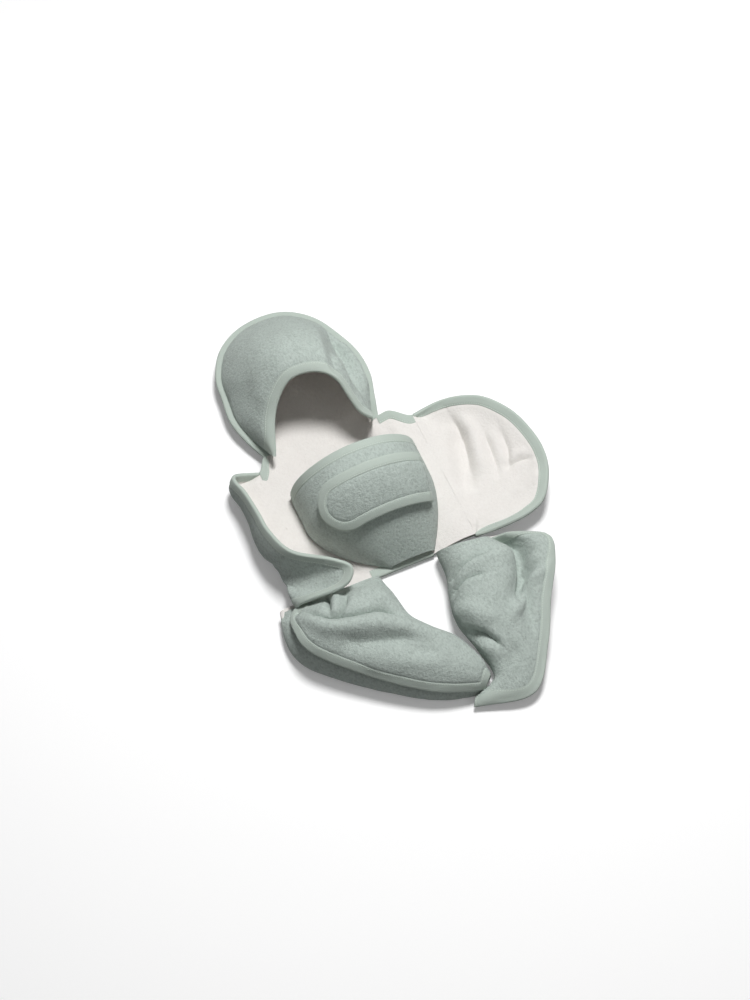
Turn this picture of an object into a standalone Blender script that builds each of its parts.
# Hooded wrap blanket of doubled fleece, in metres, +Z up, +Y towards the head.
# It lies on its back, in the shape it keeps round the one who wears it: a star with a hooded head part,
# two side wings, a belly panel closed by a tab, and two leg wraps on either side of a crotch slit.
# Left and right are the wearer's own, so left_wing and left_leg lie at +X.
import math

import bmesh
import bpy
from mathutils import Matrix, Vector

# Cloth: every sheet is an outer ply and a lining ply, and each free edge has a folded tape over it.
ply = 0.0022
ply_gap = 0.0004
seat = 0.0003
tape_seat = 0.00095
belly_seat = 0.0016
tape_wall = 0.0008
tape_width = 0.0095

# Torso: a tray of cloth under the back, with an arched panel over the belly.
back_half_width = 0.100
hip_y = -0.080
neck_y = 0.118
back_edge_height = 0.013
back_edge_run = 0.040
neck_x = -0.011
neck_half_width = 0.073
neck_notch_depth = 0.019

belly_half_width = 0.078
belly_height = 0.104
belly_top_y = 0.052
belly_top_dip = 0.012
belly_bottom_y = -0.068
belly_bottom_height = 0.040
crotch_x = 0.020
crotch_half_width = 0.026

# Belly tab: a round-ended strap of cloth, hinged at the left side, on hook and loop patches.
tab_length = 0.150
tab_width = 0.060
tab_y = -0.024
patch_length = 0.030
patch_width = 0.022
patch_wall = 0.0009
patch_inset = 0.020
patch_seat = 0.0007

# Head part: a round back and a hood over it, open at the face.
head_length = 0.183
head_width = 0.180
head_x = -0.014
rim_height = 0.020
hood_height = 0.100
face_height = 0.070

# Wings: the left one lies open, the right one stands folded round the arm.
wing_length = 0.168
wing_mid_y = 0.010
wing_reach = 0.116
wing_rim_height = 0.034
folded_reach = 0.050
folded_height = 0.070
folded_cover = 0.078
root_strip = 0.009

# Leg wraps: cloth rolled round each leg, with the free edge along the outer side.
leg_length = 0.182
leg_width = 0.150
leg_height = 0.066
leg_mouth_setback = 0.034
right_mouth_setback = 0.041
leg_slit = 0.0072
leg_slit_turn = 0.35
left_leg_width = 0.118
left_leg_shift = 0.0050
left_leg_height = 0.058

# Shares of the sizes above, chosen by hand.
# Fold of a tape over its edge: how far it reaches past the edge, and how wide it is there.
tape_nose_share = 0.75
tape_lip_share = 0.55
# Place of the tab's hinge round the belly arch.
tab_hinge_share = 0.80
# Share of the way round the tab's edge where its round end starts.
tab_turn_share = 10 / 28
# Where a wing's cloth starts and ends round its edge.
wing_end_share = 0.05
# Way round a leg wrap for each unit of its width.
leg_girth_share = 2.2
# The back's flat middle and its rise to each side, as shares of its half width.
back_flat_share = 0.42
back_rise_share = 0.46
# Lift of the back's hip edge over the crotch tape, and how far beyond the crotch it spreads.
crotch_lift_share = 1.9
# Roundness of the belly arch, the back of the head part, and the crown of the hood.
belly_round_share = 0.8
head_hollow_share = 2.6
crown_round_share = 0.7
crown_rise_share = 0.8
# Rise of the head part's rim from its ends, and over what part of its run.
rim_end_share = 0.6
rim_run_share = 1 / 6
# The most of a short rib that a wing's level root strip takes.
root_strip_share = 0.35
# The long fold across the open wing: where it starts and ends, out and along, and its rise.
wing_fold_shares = [(0.42, 0.42), (0.25, -0.28)]
wing_fold_rise_share = 0.22
# The part of a leg's height that lies flat on what it rests on, and the length of its slanted mouth.
leg_flat_share = 0.035
leg_mouth_share = 0.4
# How far up the belly panel it grows wider, and how far up it climbs.
belly_narrow_share = 0.62
belly_slope_share = 0.80
# How far up the head part its spine reaches.
head_spine_share = 0.5
# Hood rim, from its right end over the top to its left end: across and up the head part.
rim_shares = [(-0.39, 0.0016), (-0.46, 0.16), (-0.50, 0.32), (-0.485, 0.50), (-0.46, 0.67), (-0.36, 0.85),
              (-0.19, 0.965), (0.02, 1.0), (0.19, 0.96), (0.335, 0.84), (0.43, 0.66), (0.49, 0.48),
              (0.495, 0.30), (0.455, 0.14), (0.42, 0.0016)]
# Face opening, from its right lower end over the brow to its left lower end: across, along and up.
face_shares = [(-0.355, -0.08, 0.10), (-0.32, 0.01, 0.22), (-0.27, 0.12, 0.42), (-0.20, 0.20, 0.66),
               (-0.10, 0.245, 0.90), (0.02, 0.23, 1.0), (0.12, 0.185, 0.99), (0.195, 0.12, 0.86),
               (0.23, 0.03, 0.66), (0.27, -0.06, 0.44), (0.335, -0.105, 0.28)]
# Open wing edge, from the top of its root round to the foot of its root: out, along and up.
open_edge_shares = [(0.0, 0.5, 0.30), (0.28, 0.535, 0.62), (0.50, 0.49, 0.85), (0.72, 0.40, 0.95),
                    (0.90, 0.22, 1.0), (0.985, 0.02, 1.0), (1.0, -0.16, 1.0), (0.94, -0.33, 0.95),
                    (0.78, -0.50, 0.85), (0.60, -0.56, 0.78), (0.40, -0.565, 0.70), (0.18, -0.535, 0.50),
                    (0.0, -0.5, 0.30)]
# Folded wing edge, from the top of its root: out from the root, along, and up.
folded_edge_shares = [(0.0, 0.5, 0.16), (0.34, 0.545, 0.34), (0.46, 0.46, 0.58), (0.42, 0.30, 0.74),
                      (0.40, 0.10, 0.86), (0.38, -0.10, 0.94), (0.22, -0.32, 1.02), (-0.25, -0.50, 1.10),
                      (-0.46, -0.60, 1.06), (-0.30, -0.68, 0.94), (0.15, -0.66, 0.80), (0.37, -0.625, 0.60),
                      (0.38, -0.585, 0.40), (0.23, -0.545, 0.25), (0.0, -0.5, 0.16)]
# How far each of its ribs swings out beyond the back, and how high, as a share of its edge's height.
folded_swing_shares = [(0.35, 0.0), (1.0, 0.0), (1.08, 0.0), (1.02, 0.0), (1.05, 0.0), (1.20, 0.0),
                       (1.30, 0.0), (1.34, 0.03), (1.31, 0.07), (1.25, 0.13), (1.04, 0.32), (0.84, 0.55),
                       (0.68, 0.60), (0.45, 0.45), (0.20, 0.20)]
# Right leg: inner and outer sides in plan, from the mouth to the foot, and the height along it.
right_inner_shares = [(-0.04, 0.0), (-0.19, -0.22), (-0.17, -0.44), (-0.03, -0.57), (0.115, -0.69),
                      (0.205, -0.84), (0.235, -0.945)]
right_outer_shares = [(-0.985, 0.0), (-1.04, -0.20), (-0.975, -0.42), (-0.62, -0.70), (-0.25, -0.915),
                      (0.02, -1.0), (0.165, -1.01)]
right_height_shares = [0.84, 1.0, 0.98, 0.82, 0.70, 0.52, 0.30]
# Left leg, the same.
left_inner_shares = [(0.41, 0.0), (0.385, -0.20), (0.32, -0.36), (0.255, -0.52), (0.30, -0.68),
                     (0.375, -0.84), (0.37, -0.985)]
left_outer_shares = [(1.19, -0.075), (1.44, -0.24), (1.40, -0.46), (1.16, -0.68), (0.93, -0.89),
                     (0.62, -1.115), (0.36, -1.14)]
left_height_shares = [0.90, 1.0, 0.96, 0.86, 0.68, 0.44, 0.30]

# Long soft folds on top of the legs: start and end in plan, rise (below nothing in a crease) and half width.
right_crease_shares = [(-0.50, -0.24, -0.30, -0.36, -0.10, 0.16), (-0.62, -0.45, 0.10, -0.72, 0.08, 0.20),
                       (-0.30, -0.50, 0.00, -0.62, -0.07, 0.14)]
left_crease_shares = [(0.62, -0.20, 1.10, -0.34, 0.08, 0.18), (0.50, -0.34, 1.00, -0.52, -0.08, 0.16),
                      (0.22, -0.66, 0.50, -0.86, -0.16, 0.17), (0.45, -0.60, 0.80, -0.42, 0.07, 0.18)]

# Counts of facets.
open_wing_steps = 26
open_wing_rows = 5
folded_wing_steps = 32
folded_wing_rows = 7
head_steps = 22
head_rows = 6
hood_rows = 6
back_columns = 10
notch_columns = 4
back_rows = 6
belly_columns = 14
belly_rows = 7
tab_steps = 28
tab_rows = 3
patch_steps = 4
leg_round = 18
leg_rows = 18

fleece_green = (0.335, 0.445, 0.375, 1.0)
fleece_ivory = (0.80, 0.765, 0.69, 1.0)
tape_green = (0.37, 0.50, 0.41, 1.0)
patch_green = (0.42, 0.50, 0.44, 1.0)
fleece_roughness = 0.95
tape_roughness = 0.7

half_cloth = ply + ply_gap / 2
tape_reach = half_cloth + tape_seat
tape_outside = tape_reach + tape_wall
crotch_lift = (tape_outside - half_cloth) * crotch_lift_share


def start_scene():
    for obj in list(bpy.data.objects):
        bpy.data.objects.remove(obj, do_unlink=True)
    folder = bpy.data.collections.new("baby_wrap_blanket")
    bpy.context.scene.collection.children.link(folder)
    return folder


def hinge_empty(folder, name, place):
    empty = bpy.data.objects.new(name, None)
    empty.location = place
    folder.objects.link(empty)
    return empty


def finish_of(name, colour, roughness):
    material = bpy.data.materials.new(name + "_finish")
    material.use_nodes = True
    shader = material.node_tree.nodes["Principled BSDF"]
    shader.inputs["Base Color"].default_value = colour
    shader.inputs["Roughness"].default_value = roughness
    shader.inputs["Metallic"].default_value = 0.0
    return material


def through(points):
    # A smooth curve through the points, as a function of a share of its run.
    knots = [Vector(point) for point in points]
    last = len(knots) - 1

    def at(share):
        place = min(max(share, 0.0), 1.0) * last
        i = min(int(place), last - 1)
        f = place - i
        a, b = knots[i], knots[i + 1]
        before = knots[i - 1] if i > 0 else a + (a - b)
        after = knots[i + 2] if i + 2 <= last else b + (b - a)
        bend = 2 * before - 5 * a + 4 * b - after
        turn = 3 * a - before - 3 * b + after
        return 0.5 * (2 * a + (b - before) * f + bend * f * f + turn * f * f * f)

    return at


def along(values):
    curve = through([(value, 0.0, 0.0) for value in values])
    return lambda share: curve(share).x


def bent(edge, middle, root, share):
    # A rib from the edge to the root, drawn towards a middle point.
    rest = 1.0 - share
    return edge * (rest * rest) + middle * (2 * rest * share) + root * (share * share)


def smooth_step(value):
    value = min(max(value, 0.0), 1.0)
    return value * value * (3 - 2 * value)


def ease_out(value):
    # From one down to nothing, steep at first.
    return 1.0 - math.sin(min(value, 1.0) * math.pi / 2)


def fold(point, start, end, depth, width):
    # Height given by one long soft fold that runs from start to end in plan.
    run = Vector((end[0] - start[0], end[1] - start[1], 0.0))
    off = Vector((point.x - start[0], point.y - start[1], 0.0))
    share = min(max(off.dot(run) / run.length_squared, 0.0), 1.0)
    away = (off - run * share).length / width
    return depth * math.exp(-away * away)


def normal_of(form, u, v):
    # The square direction of the cloth, from its slopes near a point.
    step = 1e-3
    ahead = form(min(u + step, 1.0), v) - form(max(u - step, 0.0), v)
    across = form(u, min(v + step, 1.0)) - form(u, max(v - step, 0.0))
    square = ahead.cross(across)
    if square.length < 1e-14:
        inner_u = min(max(u, 0.03), 0.97)
        inner_v = min(max(v, 0.03), 0.97)
        if (inner_u, inner_v) == (u, v):
            return Vector((0.0, 0.0, 1.0))
        return normal_of(form, inner_u, inner_v)
    return square.normalized()


def grid_places(form, us, vs):
    # The points of a grid on the cloth. vs may change along us.
    return [[form(u, v) for v in (vs(u) if callable(vs) else vs)] for u in us]


def cloth_mesh(name, rows, turned=()):
    # A grid primitive whose corners take the given places. Each cell is cut corner to corner the same way,
    # but in the turned columns the other way, and meeting points are made one.
    mesh = bpy.data.meshes.new(name)
    bm = bmesh.new()
    columns = len(rows)
    count = len(rows[0])
    bmesh.ops.create_grid(bm, x_segments=columns - 1, y_segments=count - 1, size=1.0)
    for vert in bm.verts:
        i = round((vert.co.x + 1.0) / 2.0 * (columns - 1))
        j = round((vert.co.y + 1.0) / 2.0 * (count - 1))
        vert.co.z = i * count + j
    other = [face for face in bm.faces if round(min(vert.co.z % count for vert in face.verts)) in turned]
    plain = [face for face in bm.faces if face not in other]
    bmesh.ops.triangulate(bm, faces=plain, quad_method="FIXED")
    bmesh.ops.triangulate(bm, faces=other, quad_method="ALTERNATE")
    for vert in bm.verts:
        i, j = divmod(round(vert.co.z), count)
        vert.co = rows[i][j]
    bmesh.ops.remove_doubles(bm, verts=bm.verts, dist=ply / 20)
    bm.normal_update()
    bm.to_mesh(mesh)
    bm.free()
    return mesh


def add_piece(folder, carrier, name, mesh, wall, outward, clear, colour, roughness):
    # The open cloth gets its wall on its outward side, clear of its own surface, and hangs on the empty at
    # its joint. With no outward side the wall lies half on each side.
    obj = bpy.data.objects.new(name, mesh)
    folder.objects.link(obj)
    obj.data.materials.append(finish_of(name, colour, roughness))
    obj.data.transform(Matrix.Translation(-carrier.location))
    obj.parent = carrier
    solid = obj.modifiers.new("wall", "SOLIDIFY")
    solid.thickness = wall
    solid.offset = outward * (1 + 2 * clear / wall)
    obj.data.shade_smooth()
    return obj


def double_cloth(folder, carrier, name, form, us, vs, outward):
    # The outer ply and the lining ply of one sheet, back to back.
    for ply_name, side, colour in (("_shell", outward, fleece_green), ("_lining", -outward, fleece_ivory)):
        mesh = cloth_mesh(name + ply_name, grid_places(form, us, vs))
        add_piece(folder, carrier, name + ply_name, mesh, ply, side, ply_gap / 2, colour, fleece_roughness)


def strip_normals(edges, inners):
    # The square direction at each station of a strip of cloth, between those of the cells beside it.
    cells = []
    for i in range(len(edges) - 1):
        cells.append((edges[i + 1] - inners[i]).cross(inners[i + 1] - edges[i]).normalized())
    between = [(before + after).normalized() for before, after in zip(cells, cells[1:])]
    return cells[:1] + between + cells[-1:]


def edge_tape(folder, carrier, name, form, stations):
    # A tape folded round an edge. Each station is the edge and the inner end of the tape, as shares (u, v).
    # Its cells are cut as the cloth's under them are, so that tape and cloth lie flat on each other.
    (u, v), (inner_u, inner_v) = stations[0]
    next_u, next_v = stations[1][0]
    agree = ((next_u - u) + (next_v - v)) * ((u - inner_u) + (v - inner_v)) > 0
    edges = [form(u, v) for (u, v), inner_end in stations]
    inners = [form(u, v) for edge_end, (u, v) in stations]
    rows = []
    for edge, inner, square in zip(edges, inners, strip_normals(edges, inners)):
        out = edge - inner
        out = (out - square * out.dot(square)).normalized()
        side = square * tape_reach
        nose = out * (tape_reach * tape_nose_share)
        rows.append([
            inner + side, edge + side, edge + side * tape_lip_share + nose,
            edge - side * tape_lip_share + nose, edge - side, inner - side])
    mesh = cloth_mesh(name, rows, (4,) if agree else (0,))
    facing = 0.0
    for face in mesh.polygons:
        row = min(rows, key=lambda places: (places[1] - face.center).length)
        facing += face.normal.dot(face.center - (row[0] + row[5]) / 2) * face.area
    outward = math.copysign(1.0, facing)
    add_piece(folder, carrier, name, mesh, tape_wall, outward, 0.0, tape_green, tape_roughness)


def shares(count):
    return [i / count for i in range(count + 1)]


def shares_with_bands(count, first, last):
    # Even shares between two bands at the ends.
    inner = [first + (1.0 - first - last) * i / (count - 2) for i in range(count - 1)]
    return [0.0] + inner + [1.0]


def rim_rows(form, rows, strips=None):
    # Shares down a rib: one row a tape width in from the edge, and one at the level strip beside the root.
    def at(u):
        first = 0.02
        speed = (form(u, first) - form(u, 0.0)).length / first
        band = min(tape_width / max(speed, tape_width), 0.5)
        last = 1.0 - (strip_share(form(u, 0.0), form(u, 1.0)) if strips else (1.0 - band) / (rows - 1))
        band = min(band, last / 2)
        inner = [band + (last - band) * i / (rows - 2) for i in range(rows - 1)]
        return [0.0] + inner + [1.0]

    return at


def rim_stations(us, vs):
    return [((u, 0.0), (u, vs(u)[1])) for u in us]


def back_height(x):
    # Flat in the middle and along the very edge, with a soft rise between.
    rise = smooth_step((abs(x) / back_half_width - back_flat_share) / back_rise_share)
    return half_cloth + (back_edge_height - half_cloth) * rise


def back_level(x, y):
    # The height of the back's cloth, with its hip edge raised at the crotch by the tape under it.
    beside = (x - crotch_x) / (crotch_half_width * crotch_lift_share)
    near = math.exp(-beside * beside) * smooth_step(1 - (y - hip_y) / back_edge_run)
    return back_height(x) + crotch_lift * near


def back_form(u, v):
    # Across the back from right to left, and from the hip line up to the neck line.
    x = back_half_width * (2 * u - 1)
    shoulder = back_half_width - abs(neck_x) - neck_half_width
    beyond = smooth_step((abs(x - neck_x) - neck_half_width) / shoulder)
    y = hip_y + (neck_y - neck_notch_depth * beyond - hip_y) * v
    return Vector((x, y, back_level(x, y)))


def belly_form(u, v):
    # Arch over the belly, from the right side to the left, and from the crotch up to the chest edge.
    across = 2 * u - 1
    narrow = ease_out(v / belly_narrow_share)
    half = belly_half_width + (crotch_half_width - belly_half_width) * narrow
    middle = crotch_x * narrow
    height = belly_height + (belly_bottom_height - belly_height) * ease_out(v / belly_slope_share)
    angle = across * math.pi / 2
    x = middle + half * math.sin(angle)
    arch = max(math.cos(angle), 0.0) ** belly_round_share
    y = belly_bottom_y + (belly_top_y - belly_top_dip * arch - belly_bottom_y) * v
    foot = back_level(x, y) + half_cloth + belly_seat
    return Vector((x, y, foot + (height - foot) * arch))


def on_belly(run, side, lift):
    # A place above the belly panel: run is the way round the arch from its right side, side is along it.
    u = run / belly_girth
    v = (tab_y + side - belly_bottom_y) / (belly_top_y - belly_top_dip - belly_bottom_y)
    return belly_form(u, v) + normal_of(belly_form, u, v) * lift


def tab_form(u, v):
    # u runs round the free edge of the tab from the foot of its hinge end, v from the edge to the middle.
    round_end = tab_width / 2
    straight = tab_length - round_end
    turn = tab_turn_share
    if turn <= u <= 1 - turn:
        angle = math.pi * (u - turn) / (1 - 2 * turn)
        reach = straight + round_end * math.sin(angle)
        side = -math.cos(angle)
    else:
        reach = straight * min(u, 1 - u) / turn
        side = -1.0 if u < turn else 1.0
    reach += (min(reach, straight) - reach) * v
    return on_belly(tab_hinge_run - reach, round_end * side * (1 - v), tab_lift)


def patch_form_of(lift):
    def form(u, v):
        run = tab_hinge_run - tab_length + patch_inset + patch_length * u
        return on_belly(run, patch_width * (v - 0.5), lift)

    return form


belly_girth = 2 * sum(
    (belly_form(0.5 + i / 80, 0.6) - belly_form(0.5 + (i + 1) / 80, 0.6)).length for i in range(40))
tab_hinge_run = belly_girth * tab_hinge_share
loop_lift = half_cloth + patch_seat + patch_wall / 2
hook_lift = loop_lift + patch_wall + patch_seat
tab_lift = hook_lift + patch_wall / 2 + patch_seat + half_cloth


def head_place(across, up, height):
    return Vector((head_x + head_width * across, neck_y + head_length * up, height))


rim_last = len(rim_shares) - 1
rim_rises = []
for i in range(rim_last + 1):
    climb = min(i, rim_last - i) / (rim_last * rim_run_share)
    rim_rises.append(rim_height * min(1.0, rim_end_share + (1 - rim_end_share) * climb))
hood_seat = half_cloth + tape_reach
rim_curve = through([head_place(a, b, rise) for (a, b), rise in zip(rim_shares, rim_rises)])
hood_foot_curve = through([head_place(a, b, rise + hood_seat) for (a, b), rise in zip(rim_shares, rim_rises)])
face_curve = through([
    head_place(a, b, rim_height + half_cloth + tape_outside + face_height * c) for a, b, c in face_shares])


def head_form(u, v):
    # The back of the head part: ribs from the rim to a spine that climbs from the neck line and comes back.
    edge = rim_curve(u)
    spine = neck_y + seat + head_length * head_spine_share * (1 - abs(2 * u - 1))
    place = edge + (Vector((head_x, spine, 0.0)) - edge) * v
    low = half_cloth + seat
    place.z = low + (edge.z - low) * (1 - v) ** head_hollow_share
    return place


def hood_form(u, v):
    # The hood over the head, from its rim up to the face opening.
    edge = hood_foot_curve(u)
    face = face_curve(u)
    middle = (edge + face) / 2
    crown = math.sin(math.pi * min(max(u, 0.0), 1.0)) ** crown_round_share
    middle.z = face.z + (hood_height - face_height) * crown * crown_rise_share
    return bent(edge, middle, face, v)


def strip_share(edge, root):
    # The share of a wing's rib that lies level beside its root.
    return min(root_strip, abs(edge.x - root.x) * root_strip_share) / (edge - root).length


def wing_rib(edge, middle, root, v):
    # A rib from the edge to the root, level over a short strip beside the root so that the cloths meet flat.
    last = strip_share(edge, root)
    level = root + Vector((math.copysign(last * (edge - root).length, root.x), 0.0, 0.0))
    if v > 1 - last:
        return level + (root - level) * ((v - 1 + last) / last)
    return bent(edge, middle, level, v / (1 - last))


def open_wing_form(u, v):
    edge = open_edge(u)
    root = Vector((back_half_width + seat, wing_mid_y + wing_length * (0.5 - u), back_edge_height))
    middle = (edge + root) / 2
    middle.z = half_cloth
    place = wing_rib(edge, middle, root, v)
    start, end = [
        (back_half_width + wing_reach * a, wing_mid_y + wing_length * b) for a, b in wing_fold_shares]
    run = smooth_step(v * 3) * smooth_step((1 - v) * 3)
    place.z += run * fold(place, start, end, wing_rim_height * wing_fold_rise_share, tape_width)
    return place


def folded_wing_form(u, v):
    edge = folded_edge(u)
    root = Vector((-back_half_width - seat, wing_mid_y + wing_length * (0.5 - u), back_edge_height))
    swing = folded_swing(u)
    middle = Vector((-back_half_width - folded_reach * swing.x, (edge.y + root.y) / 2, half_cloth))
    middle.z += (edge.z - half_cloth) * swing.y
    return wing_rib(edge, middle, root, v)


open_edge = through([
    (back_half_width + seat + wing_reach * a, wing_mid_y + wing_length * b, wing_rim_height * c)
    for a, b, c in open_edge_shares])
folded_edge = through([
    (-back_half_width - seat - folded_cover * a, wing_mid_y + wing_length * b, folded_height * c)
    for a, b, c in folded_edge_shares])
folded_swing = through([(out, rise, 0.0) for out, rise in folded_swing_shares])


def leg_form_of(inner_shares, outer_shares, height_shares, creases, width, height, setback, top_y):
    # Cloth rolled round a leg: u runs from the tucked edge under the leg, up the inner side, over the top
    # to the free edge. v runs from the mouth to the foot.
    inner = through([(width * a, top_y + leg_length * b, 0.0) for a, b in inner_shares])
    outer = through([(width * a, top_y + leg_length * b, 0.0) for a, b in outer_shares])
    high = along([height * c for c in height_shares])
    folds = []
    for a, b, c, d, rise, wide in creases:
        start = (width * a, top_y + leg_length * b)
        end = (width * c, top_y + leg_length * d)
        folds.append((start, end, height * rise, height * wide))

    def form(u, v):
        a, b = inner(v), outer(v)
        middle = (a + b) / 2
        out = (b - a) / 2
        half = out.length
        round_size = (half + high(v) / 2) / 2
        gap = leg_slit / round_size
        angle = -leg_slit_turn - gap / 2 - (2 * math.pi - gap) * u
        across = math.cos(angle)
        up = math.sin(angle)
        place = middle + out * across
        level = (1 + up) / 2
        level = max(level - leg_flat_share, 0.0) / (1 - leg_flat_share)
        place.z = half_cloth + high(v) * level
        mouth = smooth_step(1 - v / leg_mouth_share)
        place.y -= setback * mouth * level
        top = smooth_step(level * 2 - 1)
        for start, end, depth, wide in folds:
            place.z += top * fold(place, start, end, depth, wide)
        return place

    return form


right_leg_form = leg_form_of(
    right_inner_shares, right_outer_shares, right_height_shares, right_crease_shares,
    leg_width, leg_height, right_mouth_setback, hip_y - seat)
left_leg_form = leg_form_of(
    left_inner_shares, left_outer_shares, left_height_shares, left_crease_shares,
    left_leg_width, left_leg_height, leg_mouth_setback, hip_y - seat + left_leg_shift)


def build_back(folder, carrier):
    low = (1 + (neck_x - neck_half_width) / back_half_width) / 2
    high = (1 + (neck_x + neck_half_width) / back_half_width) / 2
    start = tape_wall * 3 / back_half_width
    right = [(low - start) * i / notch_columns for i in range(notch_columns + 1)]
    left = [high + start + (1 - high - start) * i / notch_columns for i in range(notch_columns + 1)]
    middle = [low + (high - low) * i / back_columns for i in range(back_columns + 1)]
    us = right + middle + left
    band = tape_width / (neck_y - hip_y)
    vs = shares_with_bands(back_rows, band, band)
    double_cloth(folder, carrier, "back", back_form, us, vs, -1.0)
    for name, run in (("right_neck_binding", right[1:]), ("left_neck_binding", left[:-1])):
        edge_tape(folder, carrier, name, back_form, [((u, 1.0), (u, vs[-2])) for u in run])
    low = (1 + (crotch_x - crotch_half_width) / back_half_width) / 2
    high = (1 + (crotch_x + crotch_half_width) / back_half_width) / 2
    spare = tape_width / (2 * back_half_width)
    run = [u for u in us if low - spare <= u <= high + spare]
    edge_tape(folder, carrier, "crotch_binding", back_form, [((u, 0.0), (u, vs[1])) for u in run])


def add_patch(folder, carrier, name, lift):
    # A patch of hook or loop tape above the belly panel, curved with it.
    mesh = cloth_mesh(name, grid_places(patch_form_of(lift), shares(patch_steps), shares(patch_steps)))
    add_piece(folder, carrier, name, mesh, patch_wall, 0.0, 0.0, patch_green, tape_roughness)


def build_leg(folder, name, form, width, outward):
    # One leg wrap, with a tape round its mouth, from the inner side over the top, and down its free edge.
    middle = form(0.5, 0.0)
    carrier = hinge_empty(folder, name + "_hinge", (middle.x, hip_y, back_edge_height))
    band = tape_width / (width * leg_girth_share)
    us = shares_with_bands(leg_round, band, band)
    mouth = tape_width / leg_length
    vs = shares_with_bands(leg_rows, mouth, mouth)
    double_cloth(folder, carrier, name, form, us, vs, outward)
    stations = [((u, 0.0), (u, vs[1])) for u in us[:-1] if u > 0.5]
    stations += [((1.0, 0.0), (us[-2], vs[1]))]
    stations += [((1.0, v), (us[-2], v)) for v in vs[1:]]
    edge_tape(folder, carrier, name + "_binding", form, stations)


def build_wing(folder, name, side, form, steps, rows):
    place = (side * (back_half_width + seat), wing_mid_y, back_edge_height + half_cloth)
    carrier = hinge_empty(folder, name + "_hinge", place)
    us = [wing_end_share + (1 - 2 * wing_end_share) * share for share in shares(steps)]
    vs = rim_rows(form, rows, True)
    double_cloth(folder, carrier, name, form, us, vs, side)
    edge_tape(folder, carrier, name + "_binding", form, rim_stations(us, vs))


def build_head(folder):
    # The round back of the head part with its rim tape, and the hood over it with its face tape.
    head = hinge_empty(folder, "head_hinge", (head_x, neck_y, back_edge_height + half_cloth))
    us = shares(head_steps)
    vs = rim_rows(head_form, head_rows)
    double_cloth(folder, head, "head", head_form, us, vs, 1.0)
    edge_tape(folder, head, "hood_rim_binding", head_form, rim_stations(us, vs))

    def from_face(u, v):
        return hood_form(u, 1.0 - v)

    def hood_rows_of(u):
        return [1.0 - v for v in reversed(face_rows(u))]

    face_rows = rim_rows(from_face, hood_rows)
    double_cloth(folder, head, "hood", hood_form, us, hood_rows_of, -1.0)
    stations = [((u, 1.0), (u, hood_rows_of(u)[-2])) for u in us]
    edge_tape(folder, head, "hood_face_binding", hood_form, stations)


def build_tab(folder):
    tab = hinge_empty(folder, "belly_tab_hinge", tab_form(0.0, 1.0))
    us = shares(tab_steps)
    vs = rim_rows(tab_form, tab_rows)
    double_cloth(folder, tab, "belly_tab", tab_form, us, vs, -1.0)
    edge_tape(folder, tab, "belly_tab_binding", tab_form, rim_stations(us, vs))
    add_patch(folder, tab, "belly_tab_hook_patch", hook_lift)


def build_belly_panel(folder, carrier):
    us = shares(belly_columns)
    band = tape_width / (belly_top_y - belly_bottom_y)
    vs = shares_with_bands(belly_rows, band, band * 2)
    double_cloth(folder, carrier, "belly_panel", belly_form, us, vs, 1.0)
    stations = [((u, 1.0), (u, vs[-2])) for u in us[1:-1]]
    edge_tape(folder, carrier, "belly_panel_binding", belly_form, stations)
    add_patch(folder, carrier, "belly_loop_patch", loop_lift)


def main():
    folder = start_scene()
    back = hinge_empty(folder, "back_frame", (0.0, 0.0, 0.0))
    build_back(folder, back)

    build_belly_panel(folder, back)
    build_wing(folder, "left_wing", 1.0, open_wing_form, open_wing_steps, open_wing_rows)
    build_wing(folder, "right_wing", -1.0, folded_wing_form, folded_wing_steps, folded_wing_rows)
    build_head(folder)
    build_tab(folder)
    for name, form, width, outward in (
        ("right_leg", right_leg_form, leg_width, 1.0),
        ("left_leg", left_leg_form, left_leg_width, -1.0),
    ):
        build_leg(folder, name, form, width, outward)


main()
